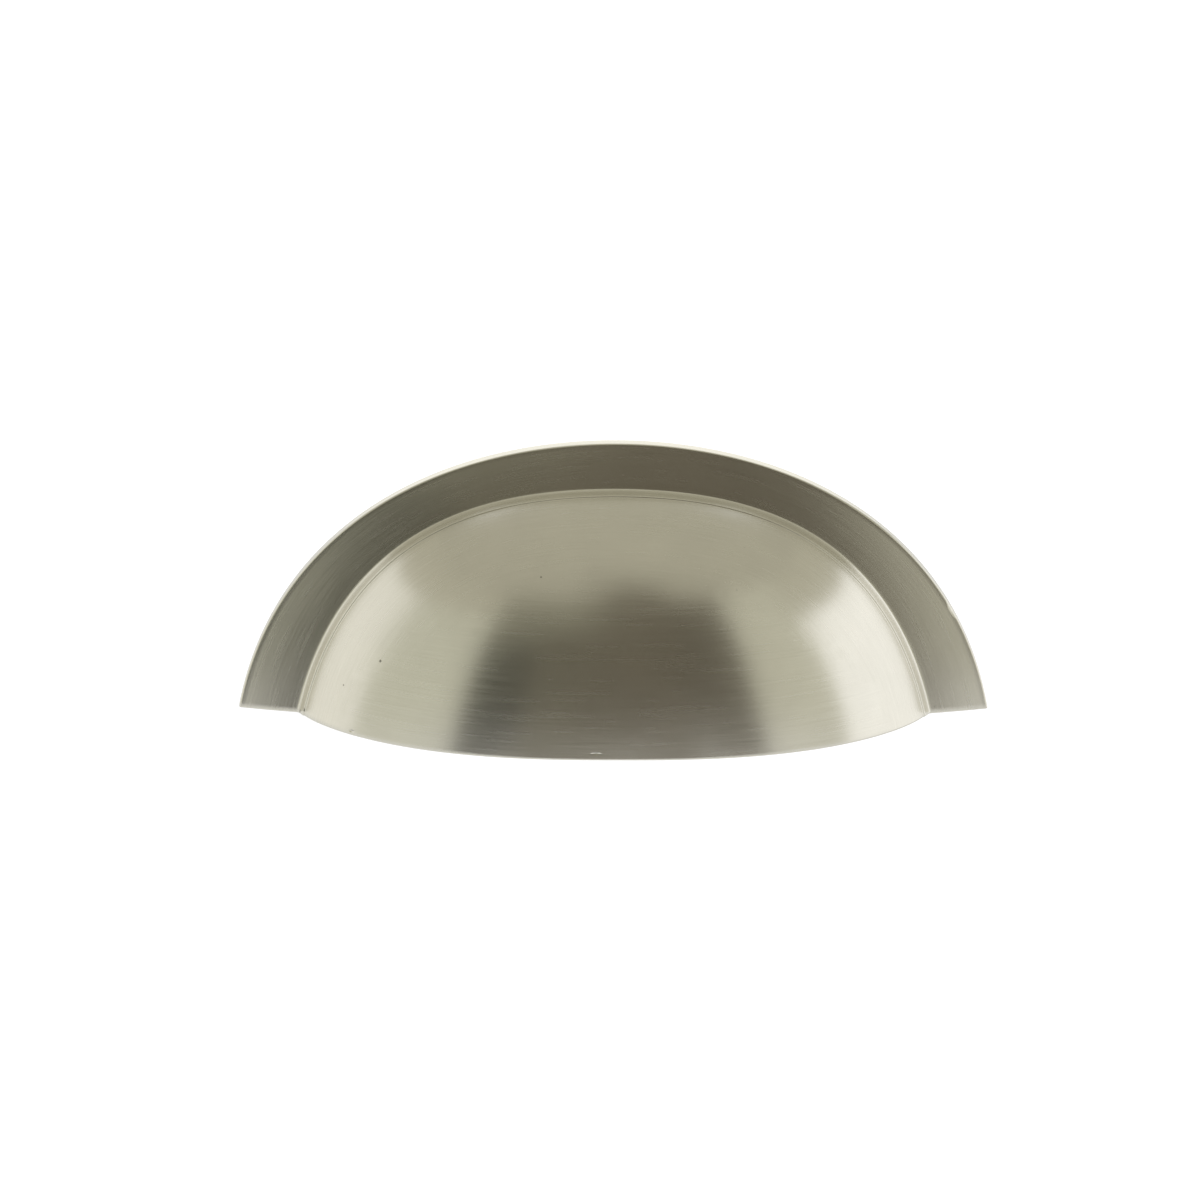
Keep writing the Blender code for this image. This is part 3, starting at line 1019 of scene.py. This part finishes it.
CAMERA_AZIMUTH = radians(-1.10)
CAMERA_ELEVATION = radians(19)
CAMERA_ROLL = radians(0.48)
CAMERA_DISTANCE = 0.9
CAMERA_TARGET = Vector((-0.002192, -0.010, 0.00666))
CAMERA_LENS = 197.45


def add_camera():
    back = Vector(
        (
            sin(CAMERA_AZIMUTH) * cos(CAMERA_ELEVATION),
            -cos(CAMERA_AZIMUTH) * cos(CAMERA_ELEVATION),
            sin(CAMERA_ELEVATION),
        )
    )
    level = Vector((cos(CAMERA_AZIMUTH), sin(CAMERA_AZIMUTH), 0))
    upright = back.cross(level)
    right = cos(CAMERA_ROLL) * level + sin(CAMERA_ROLL) * upright
    up = back.cross(right)
    camera = bpy.data.objects.new("camera", bpy.data.cameras.new("camera"))
    bpy.context.collection.objects.link(camera)
    camera.matrix_world = Matrix.Translation(CAMERA_TARGET + back * CAMERA_DISTANCE) @ Matrix(
        (right, up, back)
    ).transposed().to_4x4()
    camera.data.lens = CAMERA_LENS
    camera.data.sensor_width = 36
    camera.data.sensor_fit = "HORIZONTAL"
    camera.data.clip_start = 0.01
    bpy.context.scene.camera = camera


def add_lamp(name, azimuth, elevation, distance, size, power):
    """A soft area lamp that the metal doesn't reflect: the cards are its reflection."""
    deselect_objects()
    way = way_towards(azimuth, elevation)
    bpy.ops.object.light_add(type="AREA", location=way * distance)
    lamp = bpy.context.object
    lamp.name = name
    lamp.rotation_euler = way.to_track_quat("Z", "Y").to_euler()
    lamp.data.size = size
    lamp.data.energy = power
    lamp.visible_glossy = False


class CUPPULL_OT_casting(bpy.types.Operator):
    """Model the casting with its bosses and threads, and give it its finishes"""

    bl_idname = "cuppull.casting"
    bl_label = "Casting"
    bl_options = {"REGISTER", "UNDO"}

    def execute(self, context):
        finish = context.scene.pull_finish
        for make in (make_brushed_nickel, make_plated_hollow, make_ground_face):
            make(finish)
        form = PullForm(context.scene.casting_sizes)
        bosses = context.scene.boss_sizes
        deselect_objects()
        casting = model_shell(form)
        lay_brush_lines(form, casting)
        for side in (-1, 1):
            across = side * bosses.spacing / 2
            apply_boolean(casting, model_boss(casting, bosses, across), "UNION")
            apply_boolean(casting, model_drill(bosses, across), "DIFFERENCE")
            apply_boolean(casting, model_thread(bosses, across), "DIFFERENCE")
        deselect_objects()
        casting.select_set(True)
        context.view_layer.objects.active = casting
        bpy.ops.object.shade_smooth_by_angle(angle=SHARP_ANGLE, keep_sharp_edges=True)
        if "place" in casting.data.attributes:
            casting.data.attributes.remove(casting.data.attributes["place"])
        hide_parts(NODE)
        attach(casting, "root")
        return {"FINISHED"}


class CUPPULL_OT_stage(bpy.types.Operator):
    """Add the floor, the cards that the metal reflects, the lamps and the camera"""

    bl_idname = "cuppull.stage"
    bl_label = "Stage"
    bl_options = {"REGISTER", "UNDO"}

    def execute(self, context):
        stage = context.scene.pull_stage
        deselect_objects()
        bpy.ops.mesh.primitive_plane_add(size=FLOOR_SIZE, location=(0, 0, RIM_Z))
        floor = bpy.context.object
        floor.name = "floor"
        floor.data.materials.append(make_floor(stage.floor))
        floor.visible_glossy = False
        floor.visible_shadow = False
        for name, setting, strength, azimuths, elevations in CARDS:
            add_card(name, getattr(stage, setting), strength, azimuths, elevations)
        for lamp in LAMPS:
            add_lamp(*lamp)
        light_world(stage.floor)
        add_camera()
        context.scene.view_settings.view_transform = "Standard"
        return {"FINISHED"}


class CUPPULL_PT_sizes(bpy.types.Panel):
    """Sizes, finishes and stage of the cup pull"""

    bl_idname = "CUPPULL_PT_sizes"
    bl_label = "Cup Pull"
    bl_space_type = "VIEW_3D"
    bl_region_type = "UI"
    bl_category = "Cup Pull"

    def draw(self, context):
        layout = self.layout
        for operator in (CUPPULL_OT_casting, CUPPULL_OT_stage):
            layout.operator(operator.bl_idname)
        for name in SETTINGS:
            column = layout.box().column()
            group = getattr(context.scene, name)
            column.label(text=type(group).bl_rna.description)
            for setting in type(group).__annotations__:
                column.prop(group, setting)


SETTINGS = {
    "casting_sizes": CastingSizes,
    "boss_sizes": BossSizes,
    "pull_finish": FinishSettings,
    "pull_stage": StageSettings,
}
CLASSES = (*SETTINGS.values(), CUPPULL_OT_casting, CUPPULL_OT_stage, CUPPULL_PT_sizes)


def register():
    for kind in CLASSES:
        bpy.utils.register_class(kind)
    for name, kind in SETTINGS.items():
        setattr(bpy.types.Scene, name, PointerProperty(type=kind))


def unregister():
    for name in SETTINGS:
        delattr(bpy.types.Scene, name)
    for kind in reversed(CLASSES):
        bpy.utils.unregister_class(kind)


def main():
    register()
    bpy.ops.cuppull.casting()
    bpy.ops.cuppull.stage()


if __name__ == "__main__":
    main()
